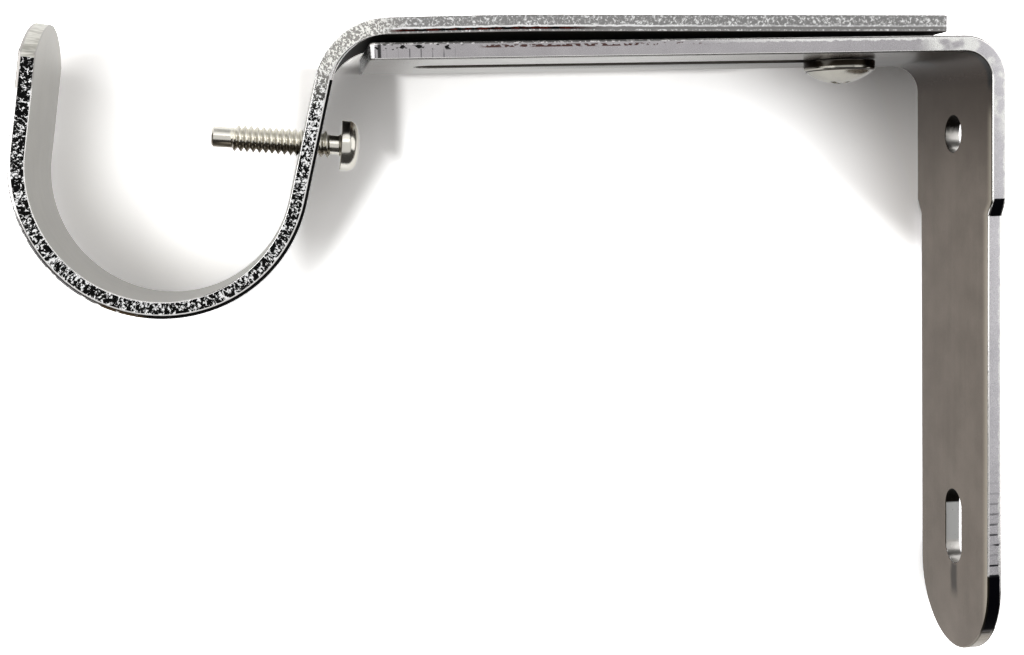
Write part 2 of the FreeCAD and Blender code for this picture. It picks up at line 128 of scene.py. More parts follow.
def pick_faces(piece, accept):
    """Select the faces that accept() agrees to, in edit mode."""
    bpy.ops.mesh.select_mode(type="FACE")
    bpy.ops.mesh.select_all(action="DESELECT")
    end()
    for face in piece.data.polygons:
        face.select = accept(face)
    bpy.ops.object.mode_set(mode="EDIT")


def pick_edges(piece, accept):
    """Select the edges whose two ends accept() agrees to, in edit mode."""
    bpy.ops.mesh.select_mode(type="EDGE")
    bpy.ops.mesh.select_all(action="DESELECT")
    end()
    corners = piece.data.vertices
    for edge in piece.data.edges:
        first, second = [corners[number].co for number in edge.vertices]
        edge.select = accept(first, second)
    bpy.ops.object.mode_set(mode="EDIT")


def move(offset):
    bpy.ops.transform.translate(value=offset)


def stretch(scales, centre):
    bpy.ops.transform.resize(value=scales, center_override=centre)


def push(offset):
    """Extrude what is selected."""
    bpy.ops.mesh.extrude_region_move(TRANSFORM_OT_translate={"value": offset})


def sweep(angle, centre, steps):
    """Spin what is selected about an axis across the strip, from +X towards +Z."""
    axis = ACROSS if angle > 0 else -ACROSS
    bpy.ops.mesh.spin(steps=steps, dupli=False, angle=abs(angle), center=centre, axis=axis)


def settle(merge=0.00001 * MM):
    """Close the mesh and turn its faces outwards, then leave edit mode."""
    bpy.ops.mesh.select_all(action="SELECT")
    bpy.ops.mesh.remove_doubles(threshold=merge)
    bpy.ops.mesh.normals_make_consistent(inside=False)
    end()


def place_in_mesh(piece):
    """Move a piece's place, turn and scale into its mesh."""
    choose(piece)
    bpy.ops.object.transform_apply(location=True, rotation=True, scale=True)


def use(piece, kind, **settings):
    """Add a modifier, set it and apply it."""
    modifier = piece.modifiers.new(kind.title(), kind)
    for key, value in settings.items():
        setattr(modifier, key, value)
    choose(piece)
    bpy.ops.object.modifier_apply(modifier=modifier.name)


def carve(piece, cutter, operation="DIFFERENCE"):
    """Cut with another mesh, which is used up."""
    use(piece, "BOOLEAN", operation=operation, solver="EXACT", object=cutter, material_mode="TRANSFER")
    bpy.data.objects.remove(cutter)


def block(low, high, finish):
    """A cube between two corners."""
    low, high = Vector(low), Vector(high)
    bpy.ops.mesh.primitive_cube_add(size=1, location=(low + high) / 2)
    piece = bpy.context.active_object
    piece.scale = high - low
    place_in_mesh(piece)
    piece.data.materials.append(finish)
    return piece


def drill(centre, direction, radius, depth, finish, sides=64):
    """A cylinder about a point, along a direction, with no corner on its own X or Y axis."""
    bpy.ops.mesh.primitive_cylinder_add(vertices=sides, radius=radius, depth=depth)
    piece = bpy.context.active_object
    half_step = Matrix.Rotation(math.pi / sides, 4, "Z")
    turn = Vector(direction).to_track_quat("Z", "Y").to_matrix().to_4x4()
    piece.matrix_world = Matrix.Translation(centre) @ turn @ half_step
    place_in_mesh(piece)
    piece.data.materials.append(finish)
    return piece


def lengthen(piece, direction, middle, amount):
    """Pull a cylinder apart into a round-ended slot of this much more length."""
    direction = Vector(direction)
    level = direction.dot(Vector(middle))
    begin(piece)
    pick_edges(piece, lambda a, b: direction.dot(a) > level and direction.dot(b) > level)
    move(direction * amount)
    end()


# Materials

class Value:
    """A shader socket. Python's operators on it add Math nodes."""

    def __init__(self, finish, socket):
        self.finish = finish
        self.socket = socket

    def math(self, operation, first, second=0.0):
        return self.finish.math(operation, first, second)

    def __add__(self, other):
        return self.math("ADD", self, other)

    def __sub__(self, other):
        return self.math("SUBTRACT", self, other)

    def __rsub__(self, other):
        return self.math("SUBTRACT", other, self)

    def __mul__(self, other):
        return self.math("MULTIPLY", self, other)

    def __truediv__(self, other):
        return self.math("DIVIDE", self, other)

    def __abs__(self):
        return self.math("ABSOLUTE", self)

    __radd__ = __add__
    __rmul__ = __mul__

    def wrap(self):
        return self.math("FRACT", self)

    def either(self, other):
        return self.math("MAXIMUM", self, other)

    def lower(self, other):
        return self.math("MINIMUM", self, other)


class Finish:
    """A material that is made from nodes."""

    def __init__(self, name, world=None):
        self.data = world or bpy.data.materials.new(name)
        self.data.use_nodes = True
        self.tree = self.data.node_tree
        self.tree.nodes.clear()

    def node(self, kind, settings=None, inputs=None, output=0):
        made = self.tree.nodes.new(kind)
        for name, value in (settings or {}).items():
            setattr(made, name, value)
        for name, value in (inputs or {}).items():
            if isinstance(value, Value):
                self.tree.links.new(value.socket, made.inputs[name])
            else:
                made.inputs[name].default_value = value
        return Value(self, made.outputs[output]) if made.outputs else None

    def place(self):
        """Object coordinates, and their three parts."""
        where = self.node("ShaderNodeTexCoord", output="Object")
        parts = [self.node("ShaderNodeSeparateXYZ", inputs={0: where}, output=n) for n in range(3)]
        return where, *parts

    def stretched(self, where, scales):
        return self.node("ShaderNodeVectorMath", {"operation": "MULTIPLY"}, {0: where, 1: scales})

    def noise(self, where, scale, detail=2.0, roughness=0.5, distortion=0.0):
        return self.node("ShaderNodeTexNoise", inputs={
            "Vector": where, "Scale": scale, "Detail": detail,
            "Roughness": roughness, "Distortion": distortion})

    def step(self, value, low, high, start=0.0, stop=1.0):
        """A smooth rise from start to stop while value goes from low to high."""
        return self.node("ShaderNodeMapRange", {"interpolation_type": "SMOOTHSTEP"}, {
            "Value": value, "From Min": low, "From Max": high, "To Min": start, "To Max": stop})

    def ramp(self, place, low, high, start=0.0, stop=1.0):
        """The same from one place to another, which are given in millimetres."""
        return self.step(place, low * MM, high * MM, start, stop)

    def distance(self, x, z, centre):
        """How far a place is from a centre, which is given in millimetres."""
        across = x - centre[0] * MM
        up = z - centre[1] * MM
        return self.math("SQRT", across * across + up * up)

    def math(self, operation, first, second=0.0):
        return self.node("ShaderNodeMath", {"operation": operation}, {0: first, 1: second})

    def blend(self, factor, first, second):
        return self.node("ShaderNodeMix", {"data_type": "RGBA"}, {0: factor, 6: first, 7: second}, 2)

    def bump(self, height, strength, distance):
        return self.node("ShaderNodeBump", inputs={
            "Height": height, "Strength": strength, "Distance": distance})

    def metal(self, colour, roughness, normal, bare=1.0):
        shader = self.node("ShaderNodeBsdfPrincipled", inputs={
            "Base Color": colour, "Roughness": roughness, "Normal": normal, "Metallic": bare})
        self.node("ShaderNodeOutputMaterial", inputs={"Surface": shader})
        return self.data


def grey(level, warmth=0.0):
    """A neutral colour, warmer with a higher warmth and cooler with a negative one."""
    return (level * (1 + warmth), level, level * (1 - warmth), 1.0)


def satin(name, low, high, base_roughness, marks=None):
    """The strips' wide faces: satin plating, softly mottled, over faint grinding lines that run
    along the strip. Marks is a function that changes the colour in places, mostly with painted
    shade and light, and gives a mask for where painted shade also dulls the plating."""
    finish = Finish(name)
    where, x, y, z = finish.place()
    lines = finish.noise(finish.stretched(where, (60.0, 5200.0, 60.0)), 1.0, 3.0, 0.6)
    faint = finish.noise(finish.stretched(where, (25.0, 900.0, 25.0)), 1.0, 2.0, 0.5)
    cloud = finish.noise(where, 170.0, 4.0, 0.55)
    grain = finish.noise(where, 3800.0, 1.0)
    tone = faint * 0.14 + cloud * 0.66 + grain * 0.2
    colour = finish.blend(finish.step(tone, 0.32, 0.68), low, high)
    roughness = base_roughness + lines * 0.07 + cloud * 0.08
    normal = finish.bump(lines * 0.6 + grain * 0.4, 0.2, 0.004 * MM)
    if not marks:
        return finish.metal(colour, roughness, normal)
    colour, shade_dulling = marks(finish, colour, x, y, z)
    return finish.metal(colour, roughness + shade_dulling * 0.5, normal, 1 - shade_dulling)


def bracket_marks_and_shading(finish, colour, x, y, z):
    """The leg's and the arm's inner side, with painted reflection and shade: paler under the arm,
    dark in the fold and the corner, a cream highlight and a dark line along the leg's near edge,
    and a shadow beside the arm slot. A run of dirt lies under the wall slot."""
    # Painted reflection: paler along the arm's underside, away from its ends
    pale = finish.ramp(x, -81.0, -74.0) * finish.ramp(x, -20.0, -52.0)
    colour = finish.blend(pale, colour, (0.72, 0.71, 0.68, 1.0))
    # Painted shade in the fold, in the corner under the arm, and beside the arm's near edge
    fold = finish.ramp(z, -9.0, 6.0, 0.0, 0.62) * finish.ramp(x, -6.0, -5.0)
    under = finish.ramp(z, 5.5, 8.5) * finish.ramp(x, -30.0, -10.0, 0.0, 0.94)
    colour = finish.blend(fold, colour, (0.022, 0.009, 0.002, 1.0))
    colour = finish.blend(under, colour, (0.034, 0.021, 0.013, 1.0))
    beside_edge = finish.ramp(BRACKET_HALF + y, 1.6, 0.2, 0.0, 0.6) * finish.ramp(z, 9.0, 9.8)
    colour = finish.blend(beside_edge, colour, (0.10, 0.09, 0.08, 1.0))

    # Painted highlight and dark reflection along the leg's near edge, and a painted black crescent in
    # the fold
    half = finish.step(z, SHOULDER_TOP, SHOULDER_FOOT, BRACKET_HALF, LEG_HALF)
    near = finish.ramp(half + y, 1.9, 0.2) * finish.ramp(z, 4.0, 1.0, 0.0, 0.55)
    colour = finish.blend(near, colour, (0.50, 0.45, 0.36, 1.0))
    line = finish.ramp(half + y, 0.60, 0.40) * finish.ramp(z, -13.0, -8.0, 0.0, 0.75)
    colour = finish.blend(line, colour, (0.03, 0.025, 0.015, 1.0))
    crescent = finish.ramp(half + y, 1.9, 1.0) * finish.ramp(z, 4.6, 6.4)
    crescent = crescent * finish.ramp(x, -6.6, -5.0)
    colour = finish.blend(crescent, colour, grey(0.003))
    # Painted shadow beside the arm slot
    behind_slot = finish.ramp(y, 2.0, 2.3) * finish.ramp(y, 9.0, 2.5) * 0.93
    behind_slot = behind_slot * finish.ramp(z, 9.0, 9.8) * finish.ramp(x, -68.0, -50.0)
    colour = finish.blend(behind_slot, colour, (0.03, 0.027, 0.022, 1.0))

    wander = (finish.noise(finish.place()[0], 400.0, 1.0) - 0.5) * (0.7 * MM)
    width = finish.ramp(abs(y + wander + 0.15 * MM), 1.5, 0.50)
    run = width * finish.ramp(z, -59.8, -60.6) * finish.ramp(z, -65.6, -63.2) * 0.92
    colour = finish.blend(run, colour, (0.022, 0.016, 0.011, 1.0))
    return colour, under * 0.15


def bracket_top_gap_shade(finish, colour, x, y, z):
    """Painted shade on top of the bracket's arm, where the sliding arm covers it. It also dulls the
    plating there.
    """
    shade_dulling = finish.ramp(z, 12.0, 12.2) * finish.ramp(x, -7.6, -8.4)
    shade_dulling = shade_dulling * finish.ramp(abs(y), 10.9, 10.3)
    return finish.blend(shade_dulling * 0.85, colour, (0.035, 0.031, 0.027, 1.0)), shade_dulling * 0.5


def arm_gap_shade(finish, colour, x, y, z):
    """Painted shade inside the neck's bend and on the arm's underside, over the bracket's arm. It also
    dulls the plating there.
    """
    shade_dulling = finish.ramp(x, -90.0, -86.5) * finish.ramp(z, 1.0, 8.0)
    return finish.blend(shade_dulling * 0.95, colour, (0.016, 0.014, 0.012, 1.0)), shade_dulling * 0.85


def smooth_edge(name):
    """The wall bracket's sheared edges: almost smooth, with ticks, pits and flakes in places, and
    painted highlights and shade.
    """
    finish = Finish(name)
    where, x, y, z = finish.place()
    cloud = finish.noise(where, 260.0, 2.0)
    fine = finish.noise(where, 2600.0, 2.0)
    colour = finish.blend(cloud, (0.60, 0.585, 0.615, 1.0), (0.80, 0.78, 0.81, 1.0))
    # Painted shade in the edge's reflection: darker along the arm, more so towards its free end
    arm = finish.ramp(z, 4.0, 10.0)
    painted_shading = arm * finish.step(x, 0.0, -10.0 * MM, 0.0, 0.7) * finish.ramp(x, -10.0, -70.0, 0.75, 1.0)
    arm_edge_shade_colour = finish.blend(cloud, (0.25, 0.235, 0.24, 1.0), (0.37, 0.35, 0.355, 1.0))
    colour = finish.blend(painted_shading, colour, arm_edge_shade_colour)

    # Painted highlights in patches where the edge runs round the fold
    fold = finish.ramp(z + x, -3.0, 1.5) * finish.ramp(x, -14.0, -9.0)
    patches = finish.step(finish.noise(where, 430.0, 2.0), 0.40, 0.56)
    colour = finish.blend(fold * patches, colour, (0.95, 0.95, 0.92, 1.0))

    # Cross ticks from the shear, 1.4 mm apart, near the foot and near the arm's end
    strength = finish.step(finish.noise(where, 310.0, 0.0), 0.36, 0.54, 0.25, 1.0)
    foot = finish.ramp(z, -43.0, -57.0) * finish.ramp(x, -5.0, -4.0)
    free_end = finish.ramp(x, -71.0, -74.0) * finish.ramp(z, 11.6, 11.4)
    leg_lines = finish.step(abs((z / (1.40 * MM)).wrap() - 0.5), 0.07, 0.13, 1.0, 0.0)
    arm_lines = finish.step(abs((x / (1.40 * MM)).wrap() - 0.5), 0.03, 0.07, 0.7, 0.0)
    ticks = (leg_lines * foot).either(arm_lines * free_end) * strength
    colour = finish.blend(ticks, colour, (0.03, 0.03, 0.035, 1.0))

    # Brown pits in a row on the arm, and black flakes near its end
    row = finish.ramp(abs(z - 11.68 * MM), 0.26, 0.10)
    fade = finish.ramp(x, -57.0, -42.0, 0.44, 0.58)
    spots = finish.noise(finish.stretched(where, (0.7, 1.0, 1.3)), 2100.0, 2.0) - fade
    rusty = row * finish.step(spots, 0.0, 0.05) * finish.ramp(x, -36.0, -46.0)
    rusty = rusty * finish.ramp(x, -69.5, -68.0)
    colour = finish.blend(rusty * 0.92, colour, (0.06, 0.018, 0.012, 1.0))
    flakes = finish.step(finish.noise(finish.stretched(where, (0.5, 1.0, 1.0)), 2100.0, 2.0), 0.55, 0.60)
    near_end = finish.ramp(x, -70.0, -73.0) * finish.ramp(z, 11.2, 11.5)
    colour = finish.blend(flakes * near_end, colour, grey(0.012))

    # A painted highlight, bright and uneven, beside the outer rounding
    ragged = (finish.noise(where, 850.0, 3.0, 0.6) - 0.5) * (0.9 * MM)
    along_arm = finish.ramp(z + ragged, 11.68, 11.84) * finish.ramp(x, -45.0, -25.0)
    border = finish.ramp(x + ragged, -0.68, -0.50).either(along_arm)
    colour = finish.blend(border, colour, (0.95, 0.95, 0.93, 1.0))

    # Painted dark reflection, black, on the shoulders and round the foot. The foot's end below it is
    # brown-grey
    shoulder = finish.ramp(abs(z - 10.05 * -MM), 1.22, 1.10)
    round_foot = finish.ramp(z, -59.3, -59.7) * finish.ramp(z, -68.6, -67.2)
    black = shoulder.either(round_foot) * finish.ramp(x, -4.0, -3.0)
    colour = finish.blend(black, colour, (0.004, 0.004, 0.006, 1.0))
    colour = finish.blend(finish.ramp(z, -67.2, -68.6), colour, (0.30, 0.27, 0.23, 1.0))

    # The arm's end face has a painted highlight at the near corner and painted shade behind it. A black
    # line crosses the edge near the end
    end_face = finish.ramp(x, -82.2, -82.45)
    behind = finish.ramp(BRACKET_HALF + y, 3.5, 4.5)
    end_shade = finish.blend(behind, grey(0.85), (0.03, 0.027, 0.023, 1.0))
    colour = finish.blend(end_face, colour, end_shade)
    end_dark_line = finish.ramp(abs(x + 81.4 * MM), 0.28, 0.14) * finish.ramp(z, 8.2, 8.8)
    colour = finish.blend(end_dark_line * 0.9, colour, grey(0.01))

    marks = ticks * (1 - black) + rusty + flakes * near_end * arm
    normal = finish.bump(fine * 0.25 - marks, 0.35, 0.02 * MM)
    roughness = 0.2 + fine * 0.12 + marks * 0.25 + black * 0.5
    return finish.metal(colour, roughness, normal)


def coarse_edge(name):
    """The sliding arm's sheared edges: a torn, sparkling surface under the plating. The tear runs
    across the strip, is coarsest round the cup and fades to a soft grain along the straight arm."""
    finish = Finish(name)
    where, x, y, z = finish.place()
    out = x - CUP_PLACE.x
    up = z - CUP_PLACE.z
    radius = finish.math("SQRT", out * out + up * up)
    turn = finish.math("ARCTAN2", up, out)
    around = turn * (CUP_RADIUS + STRIP / 2)
    polar = finish.node("ShaderNodeCombineXYZ", inputs={0: around, 1: y, 2: radius * 0.75})
    in_cup = finish.ramp(z, -1.0, -5.0).either(finish.ramp(x, -105.0, -112.0))
    round_cup = finish.noise(polar, 3100.0, 3.0, 0.62, 0.7)
    on_arm = finish.noise(where, 2900.0, 3.0, 0.62, 0.7)
    worms = finish.node("ShaderNodeMix", inputs={0: in_cup, 2: on_arm, 3: round_cup})
    grit = finish.noise(where, 6200.0, 1.0)
    field = worms + 0.12 * grit

    cut_off = 0.632 - 0.030 * finish.ramp(z, 2.0, -16.0)
    cut_off = cut_off - 0.055 * finish.ramp(z, -12.0, 6.0) * finish.ramp(x, -101.0, -98.0)
    speck = finish.step(field - cut_off, -0.012, 0.012)
    torn = finish.ramp(z, 10.5, 4.0).either(finish.ramp(x, -105.0, -112.0))
    # Painted highlight: the edge is pale cream round the top bend, grey along the straight arm
    bend = finish.ramp(x, -76.0, -83.0)
    soft_dark = finish.blend(bend, grey(0.25, 0.01), (0.34, 0.33, 0.31, 1.0))
    soft_light = finish.blend(bend, grey(0.40, 0.01), (0.95, 0.94, 0.90, 1.0))
    dark = finish.blend(torn, soft_dark, grey(0.006))
    light = finish.blend(torn, soft_light, grey(0.96))
    colour = finish.blend(speck, dark, light)
    flecks = finish.step(finish.noise(where, 2900.0, 3.0, 0.6, 0.6), 0.575, 0.605)
    flecks = flecks * (1 - torn) * (1 - bend)
    colour = finish.blend(flecks, colour, grey(0.80))

    # Low on the straight arm runs a wavy white line, a painted highlight, and under it a dull line of
    # painted dark reflection, black and red at first
    lift_start = ARM_START.x + LIFT_START
    raised = finish.step(x, lift_start, lift_start + LIFT_RUN, 0.0, LIFT)
    height = z - ARM_START.z + (x - ARM_START.x) * math.tan(ARM_LIFT) - raised
    wave = (finish.noise(finish.stretched(where, (0.6, 1.0, 1.0)), 1500.0, 3.0) - 0.5) * (0.35 * MM)
    on_straight = finish.ramp(x, -81.0, -78.5)
    white_line = finish.ramp(abs(height + wave - 0.70 * MM), 0.16, 0.07) * on_straight
    white_line = white_line * finish.ramp(x, -30.0, -50.0, 0.35, 0.85)
    colour = finish.blend(white_line, colour, grey(0.95))
    low_line = finish.ramp(height + wave * 0.5, 0.62, 0.56)
    low_line = low_line * finish.ramp(height, 0.24, 0.32) * on_straight
    red = finish.step(finish.noise(where, 650.0, 2.0), 0.42, 0.60)
    shade = finish.blend(red, grey(0.004), (0.060, 0.011, 0.008, 1.0))
    shade = finish.blend(finish.ramp(x, -58.0, -52.0), shade, grey(0.22, 0.02))
    colour = finish.blend(low_line, colour, shade)
    roughness = 0.3 + grit * 0.15
    normal = finish.bump(field, 0.4, 0.03 * MM)
    return finish.metal(colour, roughness, normal)


def cropped_tip(name):
    """The end of the cup's free wall: pale, finely scratched across."""
    finish = Finish(name)
    where = finish.place()[0]
    scratches = finish.noise(finish.stretched(where, (300.0, 2600.0, 2600.0)), 1.0, 3.0, 0.6)
    pale = finish.step(scratches, 0.36, 0.60)
    colour = finish.blend(pale, (0.40, 0.39, 0.35, 1.0), (0.66, 0.65, 0.60, 1.0))
    normal = finish.bump(scratches, 0.3, 0.01 * MM)
    return finish.metal(colour, 0.32 + scratches * 0.15, normal)


def bright_rim(name, marks):
    """Bright plating on the rounded edges, where the shear has left them slightly wavy. Marks is a
    function that gives a mask for dull plating and painted shade, and their colour."""
    finish = Finish(name)
    where, x, y, z = finish.place()
    wave = finish.noise(where, 700.0, 2.0)
    fine = finish.noise(where, 3000.0, 1.0)
    colour = finish.blend(wave, grey(0.88, 0.015), grey(0.97, 0.015))
    roughness = 0.14 + fine * 0.1
    mask, shade = marks(finish, x, y, z)
    colour = finish.blend(mask, colour, shade)
    roughness = roughness + mask * 0.3
    normal = finish.bump(wave + fine * 0.2, 0.5, 0.03 * MM)
    return finish.metal(colour, roughness, normal)


def specked(finish):
    """A mask with small holes in it."""
    return finish.step(finish.noise(finish.place()[0], 2600.0, 2.0), 0.60, 0.52, 0.3, 1.0)


def rounding_shade(finish, x, y, z):
    """Painted shade and dark reflection on the bracket's inner rounding: a thin dark line where it
    meets the satin face, black round the foot, and darker, duller plating on the side that lies on the
    paper."""
    half = finish.step(z, SHOULDER_TOP, SHOULDER_FOOT, BRACKET_HALF, LEG_HALF)
    depth = half - abs(y)
    start = finish.ramp(z, 6.0, 9.0, 0.10 * MM, 0.03 * MM)
    line = finish.step(depth - start, 0.0, 0.05 * MM) * finish.ramp(z, -61.0, -59.0)
    line = line * finish.ramp(x, -60.0, -20.0, 0.7, 1.0)
    foot = finish.ramp(z, -59.3, -59.7)
    black_foot = foot * finish.ramp(z, -68.6, -67.2)
    far_side = finish.ramp(y, 4.0, 8.0, 0.0, 0.85)
    shade = finish.blend(line.either(black_foot), (0.26, 0.235, 0.20, 1.0), (0.02, 0.017, 0.012, 1.0))
    return line.either(foot).either(far_side), shade


def dull_length(finish, x, y, z):
    """The bracket arm's top rounding is dull and specked over most of its length."""
    specks = specked(finish)
    mask = finish.ramp(x, -30.0, -50.0) * finish.ramp(x, -81.9, -81.3)
    return mask * specks, grey(0.20, 0.02)


def dull_top(finish, x, y, z):
    """The sliding arm's top corner, the cup's right side and the tip are as dull as the edge beside
    them. The side that lies on the paper is dull and painted darker, as shade."""
    specks = specked(finish)
    top = finish.ramp(x, -84.0, -77.0)
    right_arc = finish.ramp(x, -107.0, -102.0) * finish.ramp(x, -86.0, -89.0)
    tip = finish.ramp(x, -112.0, -115.0) * finish.ramp(z, 7.0, 9.0)
    far_side = finish.ramp(y, 4.0, 8.0, 0.0, 0.9)
    shade = finish.blend(right_arc, grey(0.30, 0.02), grey(0.02))
    shade = finish.blend(tip, shade, grey(0.42, 0.03))
    return (top.either(right_arc) * specks).either(tip).either(far_side), shade


def black_band(finish, x, y, z):
    """Painted dark reflection down the outside of the neck, brown under the cup, and a broken grey line
    of painted shade where the cup's left side turns away. The tip and the straight arm are dull."""
    depth = CUP_HALF - abs(y)
    inside = finish.ramp(depth, 0.012, 0.035) * finish.ramp(depth, 0.50, 0.40)
    low = finish.ramp(z, 11.0, 10.2)
    side = finish.ramp(x, -112.5, -110.0) * low
    brown_side = finish.ramp(x, -118.0, -115.5) * low
    speckle = finish.noise(finish.place()[0], 1300.0, 2.0)
    ragged = finish.step(speckle, 0.36, 0.42)
    outline = finish.ramp(depth, 0.10, 0.20) * finish.step(speckle, 0.38, 0.48)
    outline = outline * finish.ramp(x, -112.0, -115.0) * 0.9
    tip = finish.ramp(z, 7.4, 7.8) * finish.ramp(x, -112.0, -115.0)
    straight = finish.ramp(z, 11.5, 12.5) * finish.ramp(x, -88.0, -84.0)
    shade = finish.blend(brown_side, grey(0.16), (0.12, 0.085, 0.05, 1.0))
    shade = finish.blend(side, shade, grey(0.004))
    shade = finish.blend(tip.either(straight), shade, grey(0.46, 0.04))
    band = inside * side.either(brown_side * ragged)
    return band.either(outline).either(tip).either(straight), shade


def hole_wall(name):
    """The walls of the wall holes: smooth and bright below, with painted black shade at the top."""
    finish = Finish(name)
    where, x, y, z = finish.place()
    fine = finish.noise(where, 1800.0, 2.0)
    colour = finish.blend(fine, (0.56, 0.54, 0.51, 1.0), (0.78, 0.76, 0.73, 1.0))
    lower = finish.ramp(z, -40.0, -42.0)
    upright = lower * finish.ramp(abs(y), 1.0, 2.0) * finish.ramp(z, -57.8, -57.2)
    colour = finish.blend(upright, colour, (0.60, 0.60, 0.59, 1.0))
    slot_top = WALL_SLOT_LENGTH / 2 - WALL_HOLE_RADIUS - WALL_SLOT_DROP
    soft = fine * (0.9 * MM)
    hole_top_shade = finish.ramp(z + soft, 0.1, 1.7).either(
        finish.step(z, slot_top, slot_top + 0.3 * MM) * lower)
    colour = finish.blend(hole_top_shade, colour, (0.012, 0.010, 0.008, 1.0))
    normal = finish.bump(fine, 0.25, 0.01 * MM)
    return finish.metal(colour, 0.24 + fine * 0.12 + hole_top_shade * 0.4, normal)


def shaded_hole(name):
    """The walls of the long slot and the tapped holes, painted dark, as shade in them."""
    finish = Finish(name)
    where = finish.place()[0]
    fine = finish.noise(where, 1500.0, 3.0)
    colour = finish.blend(fine, (0.09, 0.082, 0.07, 1.0), (0.20, 0.185, 0.16, 1.0))
    normal = finish.bump(fine, 0.3, 0.02 * MM)
    return finish.metal(colour, 0.4 + fine * 0.2, normal)


def polished(name, low, high, marks):
    """The screws' nickel, with fine turning marks and a warm cast. Marks is a function that paints
    light and shade on the colour in places, and gives a mask for where the nickel is dull there."""
    finish = Finish(name)
    where, x, y, z = finish.place()
    turning = finish.noise(where, 2400.0, 3.0)
    cloud = finish.noise(where, 420.0, 2.0)
    colour, painted_shading = marks(finish, finish.blend(cloud, low, high), x, y, z)
    normal = finish.bump(turning, 0.2, 0.01 * MM)
    return finish.metal(colour, 0.13 + turning * 0.12 + painted_shading * 0.26, normal)


def pole_screw_shading(finish, colour, x, y, z):
    """The pole screw's shank: painted light on top, painted shade below."""
    centre = INTO_ARM @ SCREW_CROSSING
    height = z - centre.z + (x - centre.x) * math.tan(SCREW_LEAN + ARM_LIFT)
    shank = finish.ramp(x, -87.0, -88.0)
    top = finish.ramp(height, 0.15, 0.55) * shank
    below = finish.ramp(height, -0.35, -0.75) * shank
    colour = finish.blend(top, colour, (0.88, 0.86, 0.79, 1.0))
    return finish.blend(below * 0.62, colour, (0.15, 0.115, 0.07, 1.0)), top


def lock_screw_rim_shade(finish, colour, x, y, z):
    """The lock screw's rim is painted dark, as shade, between its two bright edges, and so is the groove
    under it, in uneven patches.
    """
    centre = INTO_ARM @ LOCK_SEAT
    out = x - centre.x
    radius = finish.math("SQRT", out * out + y * y)
    height = centre.z - z
    band = finish.ramp(height, 0.10, 0.16) * finish.ramp(height, 0.90, 0.80)
    rim = finish.ramp(radius, 4.60, 4.68) * band
    groove = finish.ramp(abs(height - 1.32 * MM), 0.10, 0.06)
    rim = rim.either(groove * finish.ramp(radius, 4.2, 4.4))
    patchy = finish.step(finish.noise(finish.place()[0], 330.0, 1.0), 0.62, 0.70, 1.0, 0.6)
    return finish.blend(rim * patchy, colour, (0.035, 0.028, 0.020, 1.0)), rim * 0.4


bracket_inside = satin(
    "bracket_satin_inside", (0.118, 0.095, 0.075, 1.0), (0.160, 0.132, 0.107, 1.0), 0.15, bracket_marks_and_shading)
bracket_outside = satin(
    "bracket_satin_outside", (0.15, 0.13, 0.11, 1.0), (0.21, 0.185, 0.16, 1.0), 0.20, bracket_top_gap_shade)
arm_inside = satin("arm_satin_inside", (0.285, 0.272, 0.242, 1.0), (0.355, 0.342, 0.31, 1.0), 0.24)
arm_outside = satin(
    "arm_satin_outside", (0.27, 0.26, 0.23, 1.0), (0.34, 0.325, 0.295, 1.0), 0.24, arm_gap_shade)
bracket_edge = smooth_edge("bracket_sheared_edge")
arm_edge = coarse_edge("arm_torn_edge")
tip_end = cropped_tip("arm_tip_end")
bracket_rim = bright_rim("bracket_inner_rounding", rounding_shade)
bracket_outer_rim = bright_rim("bracket_outer_rounding", dull_length)
arm_rim = bright_rim("arm_inner_rounding", dull_top)
arm_outer_rim = bright_rim("arm_outer_rounding", black_band)
wall_hole = hole_wall("wall_hole_sides")
shaded_bore = shaded_hole("slot_and_thread_sides")
screw_metal = polished(
    "pole_screw_nickel", (0.66, 0.63, 0.56, 1.0), (0.80, 0.78, 0.72, 1.0), pole_screw_shading)
head_metal = polished(
    "lock_screw_nickel", (0.36, 0.345, 0.305, 1.0), (0.50, 0.485, 0.44, 1.0), lock_screw_rim_shade)


# Strips

def section(name, centre, scales, turn):
    """A strip's starting cross-section."""
    bpy.ops.mesh.primitive_plane_add(size=1, location=centre, rotation=(0, turn, 0))
    piece = bpy.context.active_object
    piece.name = name
    place_in_mesh(piece)
    begin(piece)
    bpy.ops.mesh.select_all(action="SELECT")
    stretch(scales, centre)
    return piece


INNER, OUTER, EDGE, RIM, OUTER_RIM, BORE, SHADED_BORE, TIP = range(8)


def clothe(piece, finishes, is_outer):
    """Give the wide faces, inner and outer, and the sheared edges their materials."""
    for finish in finishes:
        piece.data.materials.append(finish)
    for polygon in piece.data.polygons:
        if abs(polygon.normal.y) > 0.5:
            polygon.material_index = EDGE
        else:
            polygon.material_index = OUTER if is_outer(polygon) else INNER


